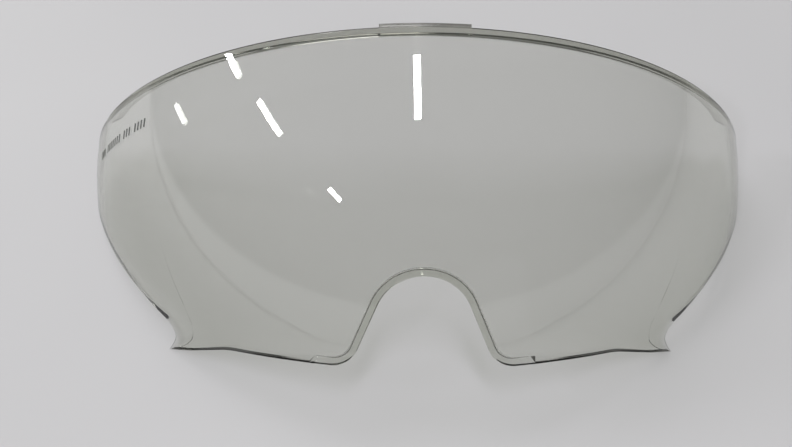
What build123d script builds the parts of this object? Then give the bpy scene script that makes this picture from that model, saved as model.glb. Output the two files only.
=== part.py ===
from build123d import *
from math import atan2, cos, degrees, dist, pi, radians, sin, sqrt, tan
import os

os.makedirs("parts", exist_ok=True)

# Half-face eye visor: one clear smoke moulding with a printed marking.
# It is drawn as worn: X to the wearer's left and right, -Y forward, +Z up,
# then tipped back on to the four points it rests on when laid on a table.

# Moulded surface: a barrel shape, round in plan and domed from brow to cheek.
plan_radius = 124.0
dome_radius = 140.0
wall = 2.2

# Brow edge: a half ellipse seen from the front, a little wider than the plan.
brow_side_margin = 1.0
brow_half_width = plan_radius + brow_side_margin
brow_rise = 46.0
brow_height = 45.2

# Return flange turned back along the brow edge.
brow_return_depth = 3.6
brow_return_end_back = 66.0

# Locating tab standing on the brow return.
tab_width = 25.0
tab_rise = 1.2
tab_setback = 0.9

# Temple end: the rear edge from its upper to its lower corner, each placed by
# how far it lies behind the front of the visor and by its height.
temple_top_back = 82.0
temple_top_height = 16.5
temple_foot_back = 72.0
temple_foot_height = -8.5

# Lower side edge: runs from the temple foot to a knee, then to the lip corner.
knee_back = 33.5
knee_height = -40.7
knee_round = 6.0
corner_back = 36.7
corner_height = -49.2

# Flare that turns the lower lips outward.
flare_start_height = -44.0
flare_radius = 7.0
flare_sweep = 60.0

# Lower edge seen from the front.
lip_corner_half = 78.5
lip_dip_half = 70.0
lip_dip_height = -48.2
lip_dip_round = 15.0
lip_crest_half = 57.0
lip_crest_height = -46.1
lip_crest_round = 25.0
nose_lobe_half = 20.3
nose_lobe_height = -48.0
nose_lobe_round = 8.0

# Nose cut and the return flange turned back around it.
nose_top_half = 9.0
nose_top_height = -21.6
nose_top_round = 13.5
nose_return_depth = 3.0
nose_return_end_height = -41.0

# Printed marking: a row of short ink bars running alongside the brow edge.
ink_thickness = 0.05
mark_bar_height = 2.7
mark_bar_width = 0.8
mark_bar_angle = 0.87
mark_space_angle = 0.9
mark_first_angle = 60.2
mark_first_drop = 11.2
mark_climb = 0.34
mark_groups = (3, 7, 3, 4)

# Reach of the cutting shapes beyond the moulding.
reach = 160.0


def dome_solid(inset):
    """Solid of revolution inside the moulded surface moved inward by inset."""
    axis_offset = plan_radius - dome_radius
    radius = dome_radius - inset
    top_angle = radians(32.0)
    start_angle = atan2(
        flare_start_height,
        sqrt(dome_radius**2 - flare_start_height**2),
    )
    top = (axis_offset + radius * cos(top_angle), radius * sin(top_angle))
    middle_angle = (top_angle + start_angle) / 2
    middle = (axis_offset + radius * cos(middle_angle), radius * sin(middle_angle))
    start = (axis_offset + radius * cos(start_angle), radius * sin(start_angle))
    flare_centre = (
        axis_offset + (dome_radius + flare_radius) * cos(start_angle),
        (dome_radius + flare_radius) * sin(start_angle),
    )
    bend = flare_radius + inset
    half_turn = start_angle + radians(180.0 + flare_sweep / 2)
    full_turn = start_angle + radians(180.0 + flare_sweep)
    flare_middle = (
        flare_centre[0] + bend * cos(half_turn),
        flare_centre[1] + bend * sin(half_turn),
    )
    flare_end = (
        flare_centre[0] + bend * cos(full_turn),
        flare_centre[1] + bend * sin(full_turn),
    )
    outline = [
        Line((0, top[1]), top),
        ThreePointArc(top, middle, start),
        ThreePointArc(start, flare_middle, flare_end),
        Line(flare_end, (0, flare_end[1])),
        Line((0, flare_end[1]), (0, top[1])),
    ]
    section = Plane.XZ * make_face(outline)
    return revolve(section, Axis.Z, 360.0)


def forward_prism(face):
    """Front-view shape pushed forward through the moulding."""
    return extrude(Plane.XZ * face, reach)


def side_prism(face):
    """Side-view shape (forward, up) pushed through from side to side."""
    side_plane = Plane(origin=(0, 0, 0), x_dir=(0, -1, 0), z_dir=(-1, 0, 0))
    return extrude(side_plane * face, reach, both=True)


def brow_ellipse(inset):
    """Area under the brow edge moved inward by inset."""
    shape = Ellipse(brow_half_width - inset, brow_rise - inset)
    return Pos(0, brow_height - brow_rise) * shape


def brow_edge_height(half):
    """Height of the brow edge at a distance from the middle."""
    share = sqrt(1 - (half / brow_half_width) ** 2)
    return brow_height - brow_rise + brow_rise * share


def corner_at(shape, point):
    """The corner of a flat shape that lies at the given point."""
    return shape.vertices().sort_by_distance(Vector(point[0], point[1], 0))[0]


def round_that_fits(before, corner, after, radius):
    """The corner radius, or less where the two straight lines are too short."""
    angle_in = atan2(corner[1] - before[1], corner[0] - before[0])
    angle_out = atan2(after[1] - corner[1], after[0] - corner[0])
    turn = abs((angle_out - angle_in + pi) % (2 * pi) - pi)
    straight = min(dist(before, corner), dist(corner, after)) / 2
    return min(radius, 0.985 * straight / tan(turn / 2))


# Solids bounded by the outer face, the inner face and the backs of the flanges.
outer_body = dome_solid(0.0)
wall_body = dome_solid(wall)
brow_back_body = dome_solid(wall + brow_return_depth)
nose_back_body = dome_solid(wall + nose_return_depth)
tab_front_body = dome_solid(tab_setback)

# Nose cut and lower edge: everything below this line is open.
lower_half_line = [
    (nose_top_half, nose_top_height),
    (nose_lobe_half, nose_lobe_height),
    (lip_crest_half, lip_crest_height),
    (lip_dip_half, lip_dip_height),
    (lip_corner_half, corner_height),
    (reach, corner_height),
    (reach, -reach),
]
mirrored_line = [(-x, z) for x, z in reversed(lower_half_line)]
lower_cut = make_face(Polyline(*lower_half_line, *mirrored_line, close=True))
edge_points = [mirrored_line[-1], *lower_half_line]
edge_rounds = [nose_top_round, nose_lobe_round, lip_crest_round, lip_dip_round]
for place, wanted in enumerate(edge_rounds, start=1):
    before, corner, after = edge_points[place - 1 : place + 2]
    radius = round_that_fits(before, corner, after, wanted)
    for side in (1, -1):
        lower_cut = fillet(corner_at(lower_cut, (side * corner[0], corner[1])), radius)

# Side view: rear edge of the temple, lower side edge and lip corner.
temple_top = (plan_radius - temple_top_back, temple_top_height)
temple_foot = (plan_radius - temple_foot_back, temple_foot_height)
knee = (plan_radius - knee_back, knee_height)
lip_corner = (plan_radius - corner_back, corner_height)
rear_slope = (temple_foot[0] - temple_top[0]) / (temple_top[1] - temple_foot[1])
rear_end = (temple_top[0] - rear_slope * (reach - temple_top[1]), reach)
side_outline = Polyline(
    temple_top,
    temple_foot,
    knee,
    lip_corner,
    (lip_corner[0], -reach),
    (reach, -reach),
    (reach, reach),
    rear_end,
    close=True,
)
side_shape = make_face(side_outline)
knee_radius = round_that_fits(temple_foot, knee, lip_corner, knee_round)
side_shape = fillet(corner_at(side_shape, knee), knee_radius)
side_body = side_prism(side_shape)

# Front view of the whole moulding.
skirt = Pos(0, (brow_height - brow_rise - reach) / 2) * Rectangle(
    2 * brow_half_width,
    reach + brow_height - brow_rise,
)
front_shape = brow_ellipse(0.0) + skirt - lower_cut
front_body = forward_prism(front_shape)

# Wall of the visor.
shell = outer_body - wall_body

# Brow return: a strip one wall thick under the brow edge, turned straight back.
above_middle = Pos(0, reach / 2) * Rectangle(2 * reach, reach)
brow_strip = (brow_ellipse(0.0) - brow_ellipse(wall)) & above_middle
brow_zone = side_prism(
    Pos(plan_radius - brow_return_end_back + reach / 2, 0) * Rectangle(reach, 2 * reach)
)
brow_return = (outer_body - brow_back_body) & forward_prism(brow_strip) & brow_zone

# Nose return: a strip one wall thick around the nose cut, turned straight back.
nose_surround = offset(lower_cut, wall)
above_lobes = Pos(0, nose_return_end_height + reach / 2) * Rectangle(
    2 * lip_crest_half,
    reach,
)
nose_strip = (nose_surround - lower_cut) & above_lobes
nose_return = (outer_body - nose_back_body) & forward_prism(nose_strip)

# Locating tab at the middle of the brow.
tab_strip = (brow_ellipse(-tab_rise) - brow_ellipse(wall / 2)) & (
    Pos(0, brow_height) * Rectangle(tab_width, brow_rise)
)
tab = (tab_front_body - brow_back_body) & forward_prism(tab_strip)

trimmed = (shell + brow_return + nose_return) & front_body & side_body
lens_worn = trimmed + tab

# Ink bars lie on the outer face at the wearer's right, below the brow edge.
ink_skin = dome_solid(-ink_thickness) - outer_body
first_front = plan_radius * cos(radians(mark_first_angle))
first_half = plan_radius * sin(radians(mark_first_angle))
first_height = brow_edge_height(first_half) - mark_first_drop
ink_bars = []
bar_angle = mark_first_angle
for bars in mark_groups:
    for bar in range(bars):
        bar_front = plan_radius * cos(radians(bar_angle))
        bar_height = first_height + mark_climb * (bar_front - first_front)
        bar_block = Rot(0, 0, -90.0 - bar_angle) * Pos(plan_radius, 0, bar_height) * Box(
            plan_radius / 5,
            mark_bar_width,
            mark_bar_height,
        )
        ink_bars.append(ink_skin & bar_block)
        bar_angle -= mark_bar_angle
    bar_angle -= mark_space_angle
marking_worn = Compound(children=[bar.solids()[0] for bar in ink_bars])

# Resting stance: the temple feet and the lip corners stand on the table.
rest_angle = degrees(
    atan2(temple_foot[1] - lip_corner[1], lip_corner[0] - temple_foot[0])
)
lens_tipped = Rot(-rest_angle, 0, 0) * lens_worn
stance = lens_tipped.bounding_box()
to_table = Pos(0, -(stance.min.Y + stance.max.Y) / 2, -stance.min.Z)

lens = to_table * lens_tipped
lens.label = "lens"
printed_marking = to_table * Rot(-rest_angle, 0, 0) * marking_worn
printed_marking.label = "printed_marking"

export_step(lens, "parts/lens.step")
export_step(printed_marking, "parts/printed_marking.step")
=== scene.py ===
from math import asin, atan2, cos, exp, radians, sin, sqrt, tan

import bmesh
import bpy
from mathutils import Matrix, Vector


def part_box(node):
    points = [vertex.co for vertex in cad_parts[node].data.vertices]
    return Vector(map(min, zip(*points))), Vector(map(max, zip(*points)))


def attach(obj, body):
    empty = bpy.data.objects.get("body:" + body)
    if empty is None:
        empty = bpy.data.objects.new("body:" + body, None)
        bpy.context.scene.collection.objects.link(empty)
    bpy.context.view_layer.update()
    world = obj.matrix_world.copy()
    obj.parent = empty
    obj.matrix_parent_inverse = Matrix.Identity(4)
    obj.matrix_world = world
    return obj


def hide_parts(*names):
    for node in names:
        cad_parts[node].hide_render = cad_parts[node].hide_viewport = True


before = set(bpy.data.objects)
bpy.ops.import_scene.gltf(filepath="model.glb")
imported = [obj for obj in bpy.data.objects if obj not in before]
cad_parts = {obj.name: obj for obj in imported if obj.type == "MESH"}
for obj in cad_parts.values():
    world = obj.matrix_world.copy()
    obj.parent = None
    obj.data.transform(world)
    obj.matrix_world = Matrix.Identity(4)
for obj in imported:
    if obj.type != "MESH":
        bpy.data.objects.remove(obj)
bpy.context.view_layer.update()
lens_low, lens_high = [Vector(corner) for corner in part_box("lens")]

MM = 0.001

# Moulded surface of the visor, as worn: x sideways, front forward, up.
PLAN_RADIUS = 124.0
DOME_RADIUS = 140.0
WALL = 2.2
FLARE_START = -44.0
FLARE_RADIUS = 7.0

# Brow edge, its return flange and the locating tab.
BROW_HALF_WIDTH = 125.0
BROW_RISE = 46.0
BROW_HEIGHT = 45.2
BROW_RETURN = 3.6
BROW_RETURN_END = 58.0
TAB_HALF_WIDTH = 12.5
TAB_RISE = 1.2
TAB_SETBACK = 0.9

# Nose cut return flange.
NOSE_RETURN = 3.0
NOSE_RETURN_END = -41.0

# Lower edge seen from the front: half width, height, corner radius.
LIP_LINE = [
    (0.0, -21.6, 0.0),
    (9.0, -21.6, 13.5),
    (20.3, -48.0, 8.0),
    (57.0, -46.1, 25.0),
    (70.0, -48.2, 15.0),
]
LIP_CORNER = (78.5, -49.2)

# Side edge seen from the side: front, height, corner radius.
CORNER_FRONT = 87.3
CORNER_UP = -49.2
SIDE_LINE = [
    (CORNER_FRONT, CORNER_UP, 0.0),
    (90.5, -40.7, 6.0),
    (52.0, -8.5, 0.0),
]
TEMPLE_TOP = (42.0, 16.5)
TEMPLE_FOOT = (52.0, -8.5)
REST_ANGLE = atan2(TEMPLE_FOOT[1] - CORNER_UP, CORNER_FRONT - TEMPLE_FOOT[0])
EDGE_ROUND = 0.4

# Mesh of the wall: slices along the visor, rows of points up each face.
SLICE_STEPS = 120
NOSE_SHARE = 0.27
CORNER_STEP = 0.0035
SLICE_GAP = 0.002
STEP_ASIDE = 1e-5
FACE_ROWS = 26
EASED = [0.0, 0.005, 0.012, 0.018, 0.026, 0.034, 0.042, 0.050, 0.058, 0.068, 0.082]
EASED += [0.082 + 0.894 * k / FACE_ROWS for k in range(1, FACE_ROWS)]
EASED += [0.976, 0.989, 1.0]
TOP_ROW = len(EASED) - 1
FOOT_ROW = 2 * TOP_ROW + 7
CORNER_ROWS = (0, TOP_ROW, TOP_ROW + 2, TOP_ROW + 3, TOP_ROW + 4, TOP_ROW + 5, FOOT_ROW, FOOT_ROW + 1)
MERGE_GAP = 0.004
SLIVER = 0.002

# Lower edge: where the plain lip starts and how the inner rows end beside it.
LIP_EDGE_RUN = 47.0
LIP_SHADE_FADE = 9.0
STRIP_LEAST = 0.15
STRIP_FADE = 14.0
STRIP_END = 8.0
STRIP_END_FADE = 12.0
NOSE_FADE_START = 8.0

# Slices bow inward near the lip corner.
CORNER_BOW = radians(5.0)
BOW_BEFORE = 35.0
BOW_AFTER = 12.0
BOW_PEAK = 0.13

# Painted shade of the faces: 1 in the rounded corners, 0 where the wall is clear; the darker colour
# stands in for light lost by refraction in the edges.
ROUNDED, TAB_EDGE, BROW_EDGE = 1.0, 0.7, 0.5
BROW_PAINTED_SHADE = (0.70, 0.685, 0.675)
ROUNDED_PAINTED_SHADE = (0.035, 0.035, 0.033)


# ---------------------------------------------------------------- geometry


def plan_reach(up, inset):
    """Distance of the moulded surface from the visor's upright axis."""
    start = asin(FLARE_START / DOME_RADIUS)
    offset = PLAN_RADIUS - DOME_RADIUS
    radius = DOME_RADIUS - inset
    if up >= radius * sin(start):
        return offset + sqrt(radius**2 - up**2)
    centre_out = offset + (DOME_RADIUS + FLARE_RADIUS) * cos(start)
    centre_up = (DOME_RADIUS + FLARE_RADIUS) * sin(start)
    return centre_out - sqrt(max((FLARE_RADIUS + inset) ** 2 - (up - centre_up) ** 2, 0.0))


def front_at(half, up, inset):
    """How far forward the surface stands at a half width and height."""
    return sqrt(max(plan_reach(up, inset) ** 2 - half**2, 0.0))


def half_at(front, up, inset):
    """Half width of the surface at a forward distance and height."""
    return sqrt(max(plan_reach(up, inset) ** 2 - front**2, 0.0))


def brow_up(half):
    """Height of the brow edge at a half width."""
    return BROW_HEIGHT - BROW_RISE + BROW_RISE * sqrt(1 - (half / BROW_HALF_WIDTH) ** 2)


def brow_shifted(half, inward):
    """Point of the brow edge moved square to the edge in the front view."""
    up = brow_up(half)
    middle = BROW_HEIGHT - BROW_RISE
    slope = Vector((half / BROW_HALF_WIDTH**2, (up - middle) / BROW_RISE**2))
    slope.normalize()
    return half - slope.x * inward, up - slope.y * inward


def rear_front(up):
    """How far forward the temple's rear edge stands at a height."""
    share = (up - TEMPLE_FOOT[1]) / (TEMPLE_TOP[1] - TEMPLE_FOOT[1])
    return TEMPLE_FOOT[0] + (TEMPLE_TOP[0] - TEMPLE_FOOT[0]) * share


def rounded_line(corners, arc_steps=14):
    """Straight lines with rounded corners, as points along them."""
    points = [Vector(corners[0][:2])]
    for before, here, after in zip(corners, corners[1:], corners[2:]):
        corner = Vector(here[:2])
        back = (Vector(before[:2]) - corner).normalized()
        ahead = (Vector(after[:2]) - corner).normalized()
        opening = back.angle(ahead)
        reach = here[2] / tan(opening / 2)
        bisector = (back + ahead).normalized()
        centre = corner + bisector * here[2] / sin(opening / 2)
        first = corner + back * reach - centre
        turn = first.angle_signed(corner + ahead * reach - centre)
        for step in range(arc_steps + 1):
            swing = Matrix.Rotation(-turn * step / arc_steps, 2)
            points.append(centre + swing @ first)
    points.append(Vector(corners[-1][:2]))
    return points


class Outline:
    """Half of the lower edge, from the nose to the temple foot."""

    def __init__(self):
        dip_half, dip_up, _ = LIP_LINE[-1]
        fall = (LIP_CORNER[1] - dip_up) / (LIP_CORNER[0] - dip_half)
        corner_half = LIP_CORNER[0]
        for _ in range(8):
            corner_half = half_at(CORNER_FRONT, dip_up + fall * (corner_half - dip_half), 0.0)
        corner_up = dip_up + fall * (corner_half - dip_half)
        lip = rounded_line(LIP_LINE + [(corner_half, corner_up, 0.0)])
        side = rounded_line([(CORNER_FRONT, corner_up, 0.0)] + SIDE_LINE[1:])
        self.stops = [(p.x, p.y, front_at(p.x, p.y, 0.0), True) for p in lip]
        self.stops += [(half_at(p.x, p.y, 0.0), p.y, p.x, False) for p in side[1:]]
        self.run = [0.0]
        for a, b in zip(self.stops, self.stops[1:]):
            step = Vector(b[:3]) - Vector(a[:3])
            self.run.append(self.run[-1] + step.length)
        self.corner_run = self.run[len(lip) - 1]
        self.length = self.run[-1]

    def at(self, run):
        """Half width, height and front at a run, and whether it is on the lip."""
        run = min(max(run, 0.0), self.length)
        place = 1
        while place < len(self.run) - 1 and self.run[place] < run:
            place += 1
        a, b = self.stops[place - 1], self.stops[place]
        gap = self.run[place] - self.run[place - 1]
        share = (run - self.run[place - 1]) / gap if gap else 0.0
        half = a[0] + (b[0] - a[0]) * share
        up = a[1] + (b[1] - a[1]) * share
        front = a[2] + (b[2] - a[2]) * share
        return half, up, front, run <= self.corner_run

    def inward(self, run):
        """Direction into the lens, square to the edge in the front view."""
        a, b = self.at(run - 0.3), self.at(run + 0.3)
        along = Vector((b[0] - a[0], b[1] - a[1])).normalized()
        return Vector((-along.y, along.x))

    def run_at_height(self, up):
        """Place on the side of the nose cut that lies at a height."""
        low, high = 0.0, self.length / 3
        while high - low > 1e-4:
            middle = (low + high) / 2
            if self.at(middle)[1] > up and middle < self.length / 4:
                low = middle
            else:
                high = middle
        return low


outline = Outline()
top_end_half = half_at(TEMPLE_TOP[0], TEMPLE_TOP[1], 0.0)
top_end_angle = atan2(top_end_half, TEMPLE_TOP[0])


def brow_half_at(share):
    """Half width of the brow point that belongs to a share of the edge."""
    angle = top_end_angle * share
    half = 0.0
    for _ in range(12):
        half = plan_reach(brow_up(half), 0.0) * sin(angle)
    return half


def share_at_brow_half(half):
    """Share of the edge that belongs to a half width of the brow."""
    return asin(half / plan_reach(brow_up(half), 0.0)) / top_end_angle


def on_surface(angle, up, inset):
    """Point (half, front, up) of the moulded surface at a plan angle."""
    reach = plan_reach(up, inset)
    return reach * sin(angle), reach * cos(angle), up


def corner_pull(run):
    """How far a slice bows inward, so that slices never cross at the lip corner."""
    past = run - outline.corner_run
    if past < 0:
        share = max(0.0, 1 + past / BOW_BEFORE)
        return CORNER_BOW * share * share * (3 - 2 * share)
    return CORNER_BOW * max(0.0, 1 - past / BOW_AFTER)


def run_between(low, high, inset, pull, downward=False):
    """Points on the moulded surface from low to high, both (half, front, up)."""
    angle_low, angle_high = atan2(low[0], low[1]), atan2(high[0], high[1])
    line = []
    for share in EASED:
        bow = share / BOW_PEAK * exp(1 - share / BOW_PEAK) * (1 - share)
        angle = angle_low + (angle_high - angle_low) * share - pull * bow
        line.append(on_surface(angle, low[2] + (high[2] - low[2]) * share, inset))
    return line[::-1] if downward else line


def edge_strip(run):
    """Width of the inner face row that runs on past the nose return."""
    fade = min(max((outline.corner_run - STRIP_END - run) / STRIP_END_FADE, 0.0), 1.0)
    return WALL * max(STRIP_LEAST, 1 - max(run - LIP_EDGE_RUN, 0.0) / STRIP_FADE) * fade


def nose_flange(run):
    """Depth of the nose return, dying away round the lobe."""
    full = outline.run_at_height(NOSE_RETURN_END) - NOSE_FADE_START
    share = min(max((LIP_EDGE_RUN - run) / (LIP_EDGE_RUN - full), 0.0), 1.0)
    return NOSE_RETURN * share * share * (3 - 2 * share)


def section(share, tab, nose):
    """One slice of the wall as a closed loop of (half, front, up)."""
    run = share * outline.length
    half, up, front, from_front = outline.at(run)
    low_out = (half, front, up)
    brow_half = brow_half_at(share)
    brow = brow_up(brow_half)
    high_out = (brow_half, front_at(brow_half, brow, 0.0), brow)
    pull = corner_pull(run)
    loop = run_between(low_out, high_out, 0.0, pull)

    # Over the brow: tab front, tab top, back of the return, its underside.
    back_inset = WALL + BROW_RETURN
    inner_front = front_at(brow_half, brow, WALL)
    rear = rear_front(brow)
    if inner_front > BROW_RETURN_END:
        back = max(front_at(brow_half, brow, back_inset), BROW_RETURN_END)
    else:
        back = inner_front
    tab_root = front_at(brow_half, brow, TAB_SETBACK)
    tab_half, tab_up = brow_shifted(brow_half, -TAB_RISE)
    under_half, under_up = brow_shifted(brow_half, WALL)
    under_inner = front_at(under_half, under_up, WALL)
    if inner_front > BROW_RETURN_END:
        under_back = max(front_at(under_half, under_up, back_inset), BROW_RETURN_END)
        under_back = min(under_back, under_inner)
    else:
        under_back = under_inner
    if inner_front < rear:
        back = rear
        brow_inner = half_at(rear, brow, WALL)
    else:
        brow_inner = brow_half
    under_rear = rear_front(under_up)
    if under_inner < under_rear:
        under_inner = under_rear
        under_back = under_rear
        under_half = half_at(under_rear, under_up, WALL)
    high_back = (brow_inner, back, brow)
    if tab:
        tab_front = max(front_at(tab_half, tab_up, TAB_SETBACK), back)
        loop += [
            (brow_half, max(tab_root, back), brow),
            (tab_half, tab_front, tab_up),
            (tab_half, back, tab_up),
        ]
        round_at = {0, TOP_ROW, TOP_ROW + 2, TOP_ROW + 3}
    else:
        loop += [between(high_out, high_back, part) for part in (0.25, 0.5, 0.75)]
        round_at = {0, TOP_ROW, TOP_ROW + 4}
    loop += [high_back, (under_half, under_back, under_up)]
    if inner_front > BROW_RETURN_END + 1.0:
        round_at.add(TOP_ROW + 5)
    high_in = (under_half, under_inner, under_up)

    # Down the inner face to the lower edge or to the nose return.
    if not from_front:
        low_in = (half_at(front, up, WALL), front, up)
    else:
        inner = front_at(half, up, WALL)
        if inner < CORNER_FRONT:
            low_in = (half_at(CORNER_FRONT, up, WALL), CORNER_FRONT, up)
        else:
            low_in = (half, inner, up)
    strip = edge_strip(run)
    side = outline.inward(run)
    edge_half = half + side.x * strip
    edge_up = up + side.y * strip
    if strip > 0:
        root_in = (edge_half, front_at(edge_half, edge_up, WALL), edge_up)
    else:
        root_in = low_in
    loop += run_between(root_in, high_in, WALL, pull, downward=True)
    if nose:
        flange = WALL + nose_flange(run)
        loop += [
            (edge_half, front_at(edge_half, edge_up, flange), edge_up),
            (half, front_at(half, up, flange), up),
        ]
        round_at |= {FOOT_ROW, FOOT_ROW + 1}
    else:
        loop += [low_in, between(low_in, low_out, 0.5)]
        round_at.add(FOOT_ROW)
    return rounded_loop(loop, round_at)


def between(a, b, part):
    """Point part of the way from a to b."""
    return tuple(first + (second - first) * part for first, second in zip(a, b))


def rounded_loop(loop, round_at):
    """The slice with each sharp corner eased by a small radius, closed on itself."""
    eased = []
    for row, point in enumerate(loop):
        if row not in CORNER_ROWS:
            eased.append(point)
            continue
        here = Vector(point)
        before = Vector(loop[row - 1]) - here
        after = Vector(loop[(row + 1) % len(loop)]) - here
        size = EDGE_ROUND if row in round_at else 0.0
        size = min(size, before.length * 0.45, after.length * 0.45)
        start = here + (before.normalized() * size if size else Vector())
        end = here + (after.normalized() * size if size else Vector())
        eased += [tuple(start), tuple((start + end + 2 * here) / 4), tuple(end)]
    eased.append(eased[0])
    return eased


def column_shares():
    """Shares of the edge at which a slice is taken, with its tab and nose."""
    tab_end = share_at_brow_half(TAB_HALF_WIDTH)
    nose_end = LIP_EDGE_RUN / outline.length
    corner = outline.corner_run / outline.length
    shares = [k / SLICE_STEPS for k in range(SLICE_STEPS + 1)]
    shares += [(k + 0.5) / SLICE_STEPS for k in range(int(SLICE_STEPS * NOSE_SHARE))]
    ends = (tab_end, nose_end, corner)
    keep = [share for share in shares if min(abs(share - end) for end in ends) > SLICE_GAP]
    keep += [corner + step * CORNER_STEP for step in (-4, -3, -2, -1, 1, 2, 3, 4)]
    columns = [(share, share < tab_end, share < nose_end) for share in keep]
    columns.append((tab_end, True, tab_end < nose_end))
    columns.append((tab_end + STEP_ASIDE, False, tab_end < nose_end))
    columns.append((nose_end, nose_end < tab_end, False))
    columns.append((corner, False, False))
    return sorted(columns, key=lambda column: column[0])


def row_names():
    """Row of the slice that each row of faces starts from, corners counted three times."""
    names = []
    for row in range(FOOT_ROW + 2):
        names += [row] * (3 if row in CORNER_ROWS else 1)
    return names


def row_shades():
    """Painted shade of each row of faces round the slice: rounded, brow edge or clear."""
    shades = []
    for row in range(FOOT_ROW + 2):
        if row in CORNER_ROWS:
            shades += [ROUNDED, ROUNDED]
        shades.append(BROW_EDGE if TOP_ROW <= row <= TOP_ROW + 4 else 0.0)
    return shades


def shade_faces(mesh, half_columns, rows):
    """Paint shade on the brow edge, the tab, the rounded corners and the lower edge, for light lost
    by refraction in them.
    """
    middle = len(half_columns) - 1
    shades = row_shades()
    shade = mesh.faces.layers.float.new("painted_edge_shade")
    names = row_names()
    for face in mesh.faces:
        at = face.calc_center_median()
        column = int((at.x + 1) / 2 * (2 * middle))
        row = int((at.y + 1) / 2 * (rows - 1))
        share, tab, nose = half_columns[min(abs(column - middle), middle)]
        run = share * outline.length
        face[shade] = shades[row]
        # Painted shade: a dark line along the lower lip, faded in from the nose.
        on_lip = LIP_EDGE_RUN < run < outline.corner_run - 0.5
        if on_lip and (row >= rows - 6 or row <= 3):
            fade = min((run - LIP_EDGE_RUN) / LIP_SHADE_FADE, 1.0)
            face[shade] = max(face[shade] * 0.5, ROUNDED * fade)
        # Painted shade: a dark line at the root of the nose return, its outer edge left clear.
        elif nose and names[row] == FOOT_ROW - 1:
            face[shade] = ROUNDED
        elif nose and names[row] in (0, FOOT_ROW + 1):
            face[shade] = 0.0
        # Painted shade: the tab's edge rows are darkened.
        elif tab and TOP_ROW <= names[row] <= TOP_ROW + 3:
            face[shade] = TAB_EDGE


def build_lens():
    """The visor as one closed mesh, tipped back and set down where the CAD lens rests."""
    half_columns = column_shares()
    loops = [section(*column) for column in half_columns]
    mirrored = [[(-x, front, up) for x, front, up in loop] for loop in loops]
    slices = mirrored[:0:-1] + loops
    rows = len(slices[0])
    mesh = bmesh.new()
    bmesh.ops.create_grid(mesh, x_segments=len(slices) - 1, y_segments=rows - 1, size=1.0)
    shade_faces(mesh, half_columns, rows)
    for vert in mesh.verts:
        column = round((vert.co.x + 1) / 2 * (len(slices) - 1))
        row = round((vert.co.y + 1) / 2 * (rows - 1))
        side, front, up = slices[column][row]
        vert.co = (side, -front, up)
    bmesh.ops.remove_doubles(mesh, verts=mesh.verts, dist=MERGE_GAP)
    ends = [edge for edge in mesh.edges if edge.is_boundary]
    bmesh.ops.holes_fill(mesh, edges=ends, sides=0)
    bmesh.ops.dissolve_degenerate(mesh, edges=mesh.edges, dist=SLIVER)
    bmesh.ops.recalc_face_normals(mesh, faces=mesh.faces)
    tip_back = Matrix.Rotation(-REST_ANGLE, 3, "X")
    bmesh.ops.rotate(mesh, verts=mesh.verts, cent=(0, 0, 0), matrix=tip_back)
    bmesh.ops.scale(mesh, verts=mesh.verts, vec=(MM, MM, MM))
    low = Vector([min(v.co[axis] for v in mesh.verts) for axis in range(3)])
    high = Vector([max(v.co[axis] for v in mesh.verts) for axis in range(3)])
    place = (lens_low + lens_high - low - high) / 2
    place.z = lens_low.z - low.z
    bmesh.ops.translate(mesh, verts=mesh.verts, vec=place)
    for face in mesh.faces:
        face.smooth = True
    data = bpy.data.meshes.new("visor_lens")
    mesh.to_mesh(data)
    mesh.free()
    lens = bpy.data.objects.new("visor_lens", data)
    bpy.context.scene.collection.objects.link(lens)
    weighted = lens.modifiers.new("even_normals", "WEIGHTED_NORMAL")
    weighted.mode = "FACE_AREA_WITH_ANGLE"
    weighted.weight = 80
    weighted.keep_sharp = True
    return lens


# --------------------------------------------------------------- materials


def new_material(name):
    material = bpy.data.materials.new(name)
    material.use_nodes = True
    tree = material.node_tree
    shader = tree.nodes["Principled BSDF"]
    return material, tree, shader


def grey(level):
    return level, level, level


def object_noise(tree, scale, detail, roughness):
    where = tree.nodes.new("ShaderNodeTexCoord")
    noise = tree.nodes.new("ShaderNodeTexNoise")
    noise.inputs["Scale"].default_value = scale
    noise.inputs["Detail"].default_value = detail
    noise.inputs["Roughness"].default_value = roughness
    tree.links.new(where.outputs["Object"], noise.inputs["Vector"])
    return noise


def ramp(tree, source, stops):
    node = tree.nodes.new("ShaderNodeValToRGB")
    while len(node.color_ramp.elements) < len(stops):
        node.color_ramp.elements.new(0.5)
    for element, (place, colour) in zip(node.color_ramp.elements, stops):
        element.position = place
        element.color = (*colour, 1.0)
    tree.links.new(source, node.inputs["Fac"])
    return node


def relief(tree, shader, noise, strength, depth):
    """Fine unevenness of a surface, taken from a noise."""
    bump = tree.nodes.new("ShaderNodeBump")
    bump.inputs["Strength"].default_value = strength
    bump.inputs["Distance"].default_value = depth
    tree.links.new(noise.outputs["Fac"], bump.inputs["Height"])
    tree.links.new(bump.outputs["Normal"], shader.inputs["Normal"])


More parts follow.
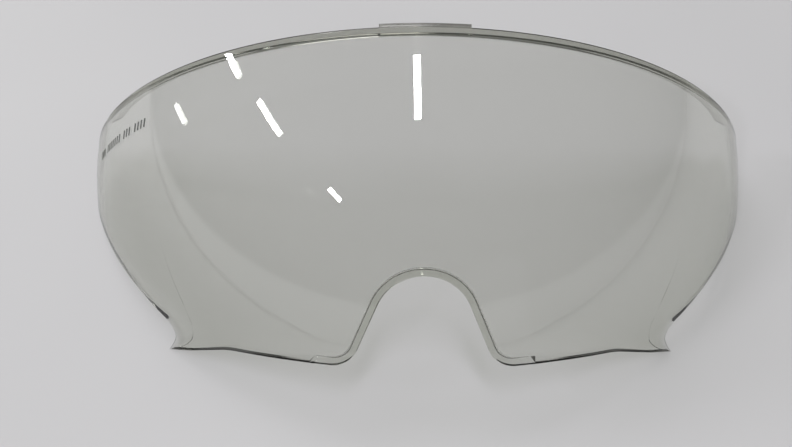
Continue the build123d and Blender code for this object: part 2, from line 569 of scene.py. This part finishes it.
def smoke_polycarbonate():
    """Clear smoke moulding; painted shade on its edges stands for light lost in them."""
    material, tree, shader = new_material("smoke_polycarbonate")
    shader.inputs["IOR"].default_value = 1.585
    shader.inputs["Transmission Weight"].default_value = 1.0
    # Handling haze: faint smears that change the gloss a little.
    smear = object_noise(tree, 45.0, 4.0, 0.55)
    haze = ramp(tree, smear.outputs["Fac"], [(0.45, grey(0.0)), (0.75, grey(0.02))])
    tree.links.new(haze.outputs["Color"], shader.inputs["Roughness"])
    tint = object_noise(tree, 14.0, 3.0, 0.5)
    body = ramp(tree, tint.outputs["Fac"], [(0.3, (0.985, 0.985, 0.98)), (0.7, grey(1.0))])
    # Painted shade: the brow edge greys and the rounded corners go near black, standing in for light
    # lost by refraction.
    edge = tree.nodes.new("ShaderNodeAttribute")
    edge.attribute_name = "painted_edge_shade"
    painted_shade_stops = [(0.0, grey(1.0)), (BROW_EDGE, BROW_PAINTED_SHADE), (ROUNDED, ROUNDED_PAINTED_SHADE)]
    lost = ramp(tree, edge.outputs["Fac"], painted_shade_stops)
    shaded = tree.nodes.new("ShaderNodeMix")
    shaded.data_type = "RGBA"
    shaded.blend_type = "MULTIPLY"
    shaded.inputs[0].default_value = 1.0
    tree.links.new(body.outputs["Color"], shaded.inputs[6])
    tree.links.new(lost.outputs["Color"], shaded.inputs[7])
    tree.links.new(shaded.outputs[2], shader.inputs["Base Color"])
    # Moulding ripple, far finer than the wall.
    relief(tree, shader, object_noise(tree, 22.0, 1.0, 0.4), 0.06, 0.0002)
    absorb = tree.nodes.new("ShaderNodeVolumeAbsorption")
    absorb.inputs["Color"].default_value = (0.46, 0.49, 0.36, 1.0)
    absorb.inputs["Density"].default_value = 118.0
    output = tree.nodes["Material Output"]
    tree.links.new(absorb.outputs["Volume"], output.inputs["Volume"])
    # Lamps shine through the clear wall on to the table, less so at a glancing angle.
    glancing = tree.nodes.new("ShaderNodeLayerWeight")
    glancing.inputs["Blend"].default_value = 0.35
    clearness = [(0.0, grey(0.98)), (0.8, grey(0.95)), (1.0, grey(0.7))]
    passed = ramp(tree, glancing.outputs["Facing"], clearness)
    through = tree.nodes.new("ShaderNodeBsdfTransparent")
    tree.links.new(passed.outputs["Color"], through.inputs["Color"])
    path = tree.nodes.new("ShaderNodeLightPath")
    either = tree.nodes.new("ShaderNodeMixShader")
    tree.links.new(path.outputs["Is Shadow Ray"], either.inputs["Fac"])
    tree.links.new(shader.outputs["BSDF"], either.inputs[1])
    tree.links.new(through.outputs["BSDF"], either.inputs[2])
    tree.links.new(either.outputs["Shader"], output.inputs["Surface"])
    return material


def pad_ink():
    material, tree, shader = new_material("pad_print_ink")
    patch = object_noise(tree, 1400.0, 3.0, 0.6)
    inks = [(0.35, (0.05, 0.055, 0.05)), (0.7, (0.14, 0.145, 0.135))]
    coat = ramp(tree, patch.outputs["Fac"], inks)
    tree.links.new(coat.outputs["Color"], shader.inputs["Base Color"])
    gloss = ramp(tree, patch.outputs["Fac"], [(0.3, grey(0.4)), (0.7, grey(0.65))])
    tree.links.new(gloss.outputs["Color"], shader.inputs["Roughness"])
    return material


def pale_paper():
    material, tree, shader = new_material("pale_paper")
    shader.inputs["Specular IOR Level"].default_value = 0.15
    mottle = object_noise(tree, 5.0, 2.0, 0.5)
    papers = [(0.3, (0.585, 0.580, 0.592)), (0.7, (0.62, 0.615, 0.625))]
    tone = ramp(tree, mottle.outputs["Fac"], papers)
    tree.links.new(tone.outputs["Color"], shader.inputs["Base Color"])
    shader.inputs["Roughness"].default_value = 0.85
    # Paper fibre.
    relief(tree, shader, object_noise(tree, 900.0, 4.0, 0.7), 0.15, 0.0001)
    return material


# ------------------------------------------------------------------ pieces

lens = build_lens()
lens.data.materials.append(smoke_polycarbonate())
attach(lens, "root")
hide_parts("lens")

marking = bpy.data.objects["printed_marking"]
for slot in marking.material_slots:
    slot.material = pad_ink()

# ------------------------------------------------------- floor and lighting

floor_mesh = bmesh.new()
bmesh.ops.create_grid(floor_mesh, x_segments=1, y_segments=1, size=3.0)
floor_data = bpy.data.meshes.new("table_paper")
floor_mesh.to_mesh(floor_data)
floor_mesh.free()
table = bpy.data.objects.new("table_paper", floor_data)
bpy.context.scene.collection.objects.link(table)
table.data.materials.append(pale_paper())


def add_area(name, spot, target, size_x, size_y, power, along=None, colour=(1.0, 1.0, 1.0)):
    """A rectangular lamp, its long side turned to a direction where one is given."""
    light = bpy.data.lights.new(name, "AREA")
    light.shape = "RECTANGLE"
    light.size = size_x
    light.size_y = size_y
    light.energy = power
    light.color = colour
    holder = bpy.data.objects.new(name, light)
    spot, target = Vector(spot), Vector(target)
    aim = (target - spot).normalized()
    if along is None:
        holder.rotation_euler = aim.to_track_quat("-Z", "Y").to_euler()
    else:
        across_z = -aim
        across_x = (Vector(along) - across_z * Vector(along).dot(across_z)).normalized()
        across_y = across_z.cross(across_x)
        holder.rotation_euler = Matrix((across_x, across_y, across_z)).transposed().to_euler()
    holder.location = spot
    holder.visible_camera = False
    bpy.context.scene.collection.objects.link(holder)
    return holder


def room():
    """Soft surroundings: a bright lower wall under a dim ceiling."""
    world = bpy.data.worlds.new("studio_room")
    bpy.context.scene.world = world
    world.use_nodes = True
    tree = world.node_tree
    back = tree.nodes["Background"]
    where = tree.nodes.new("ShaderNodeTexCoord")
    split = tree.nodes.new("ShaderNodeSeparateXYZ")
    tree.links.new(where.outputs["Generated"], split.inputs["Vector"])
    # The bright lower wall stands higher in front of the visor than behind it.
    lean = tree.nodes.new("ShaderNodeMath")
    lean.operation = "MULTIPLY_ADD"
    lean.inputs[1].default_value = 0.20
    tree.links.new(split.outputs["Y"], lean.inputs[0])
    tree.links.new(split.outputs["Z"], lean.inputs[2])
    levels = [
        (0.0, (0.55, 0.55, 0.56)),
        (0.035, (0.52, 0.52, 0.53)),
        (0.06, (0.15, 0.152, 0.15)),
        (1.0, (0.08, 0.082, 0.08)),
    ]
    walls = ramp(tree, lean.outputs["Value"], levels)
    tree.links.new(walls.outputs["Color"], back.inputs["Color"])
    # The room is brighter behind the visor and dimmer towards the right.
    behind = tree.nodes.new("ShaderNodeMapRange")
    behind.inputs["From Min"].default_value = 0.25
    behind.inputs["From Max"].default_value = 0.9
    behind.inputs["To Min"].default_value = 1.0
    behind.inputs["To Max"].default_value = 2.0
    tree.links.new(split.outputs["Y"], behind.inputs["Value"])
    dimmer = tree.nodes.new("ShaderNodeMath")
    dimmer.operation = "MULTIPLY_ADD"
    dimmer.inputs[1].default_value = -0.35
    tree.links.new(split.outputs["X"], dimmer.inputs[0])
    tree.links.new(behind.outputs["Result"], dimmer.inputs[2])
    tree.links.new(dimmer.outputs["Value"], back.inputs["Strength"])


room()

# Ceiling tubes: name, place, direction of the tube, size, aim, power.
TUBES = [
    ("tube_over", (-0.017, -0.346, 1.842), (0.012, -0.980, -0.201), (0.612, 0.066),
        (-0.002, 0.003, 0.077), 15.0),
    ("tube_side", (-1.371, -0.262, 1.252), (0.318, -0.939, 0.131), (0.415, 0.052),
        (-0.042, 0.001, 0.067), 5.0),
    ("tube_rear_side", (-1.537, 0.412, 1.012), (0.044, -0.908, 0.416), (0.360, 0.054),
        (-0.054, 0.019, 0.070), 3.5),
    ("tube_far_side", (-1.802, 0.352, 0.412), (-0.085, -0.924, 0.374), (0.235, 0.040),
        (-0.071, 0.013, 0.056), 0.32),
    ("tube_front", (-0.832, -1.107, 1.242), (0.660, -0.719, -0.218), (0.157, 0.037),
        (-0.024, -0.019, 0.058), 3.5),
]
for name, spot, along, (length, width), target, power in TUBES:
    add_area(name, spot, target, length, width, power, along)
add_area("ceiling_panel", (-0.50, 1.15, 1.60), (0, 0, 0), 1.3, 0.9, 12.0, None, (1.0, 0.985, 0.985))

# ------------------------------------------------------------------ camera

camera_data = bpy.data.cameras.new("view")
camera_data.sensor_width = 36.0
camera_data.lens = 36.49
camera_data.clip_start = 0.01
camera = bpy.data.objects.new("view", camera_data)
# Looking down from the front, turned and rolled a hair.
elevation, yaw, roll, reach = 0.9178, -0.0003, 0.0042, 0.2419
aim_at = Vector((-0.00768, -0.00598, 0.03046))
forward = Vector((sin(yaw) * cos(elevation), cos(yaw) * cos(elevation), -sin(elevation)))
right = forward.cross(Vector((0, 0, 1))).normalized()
upward = right.cross(forward)
right = (right * cos(roll) + upward * sin(roll)).normalized()
upward = right.cross(forward)
camera.location = aim_at - forward * reach
camera.rotation_euler = Matrix((right, upward, -forward)).transposed().to_euler()
bpy.context.scene.collection.objects.link(camera)
bpy.context.scene.camera = camera
bpy.context.scene.view_settings.view_transform = "Standard"

# The clear wall already passes the lamps' light, so it isn't counted twice.
bpy.context.scene.cycles.caustics_refractive = False
bpy.context.scene.cycles.caustics_reflective = False
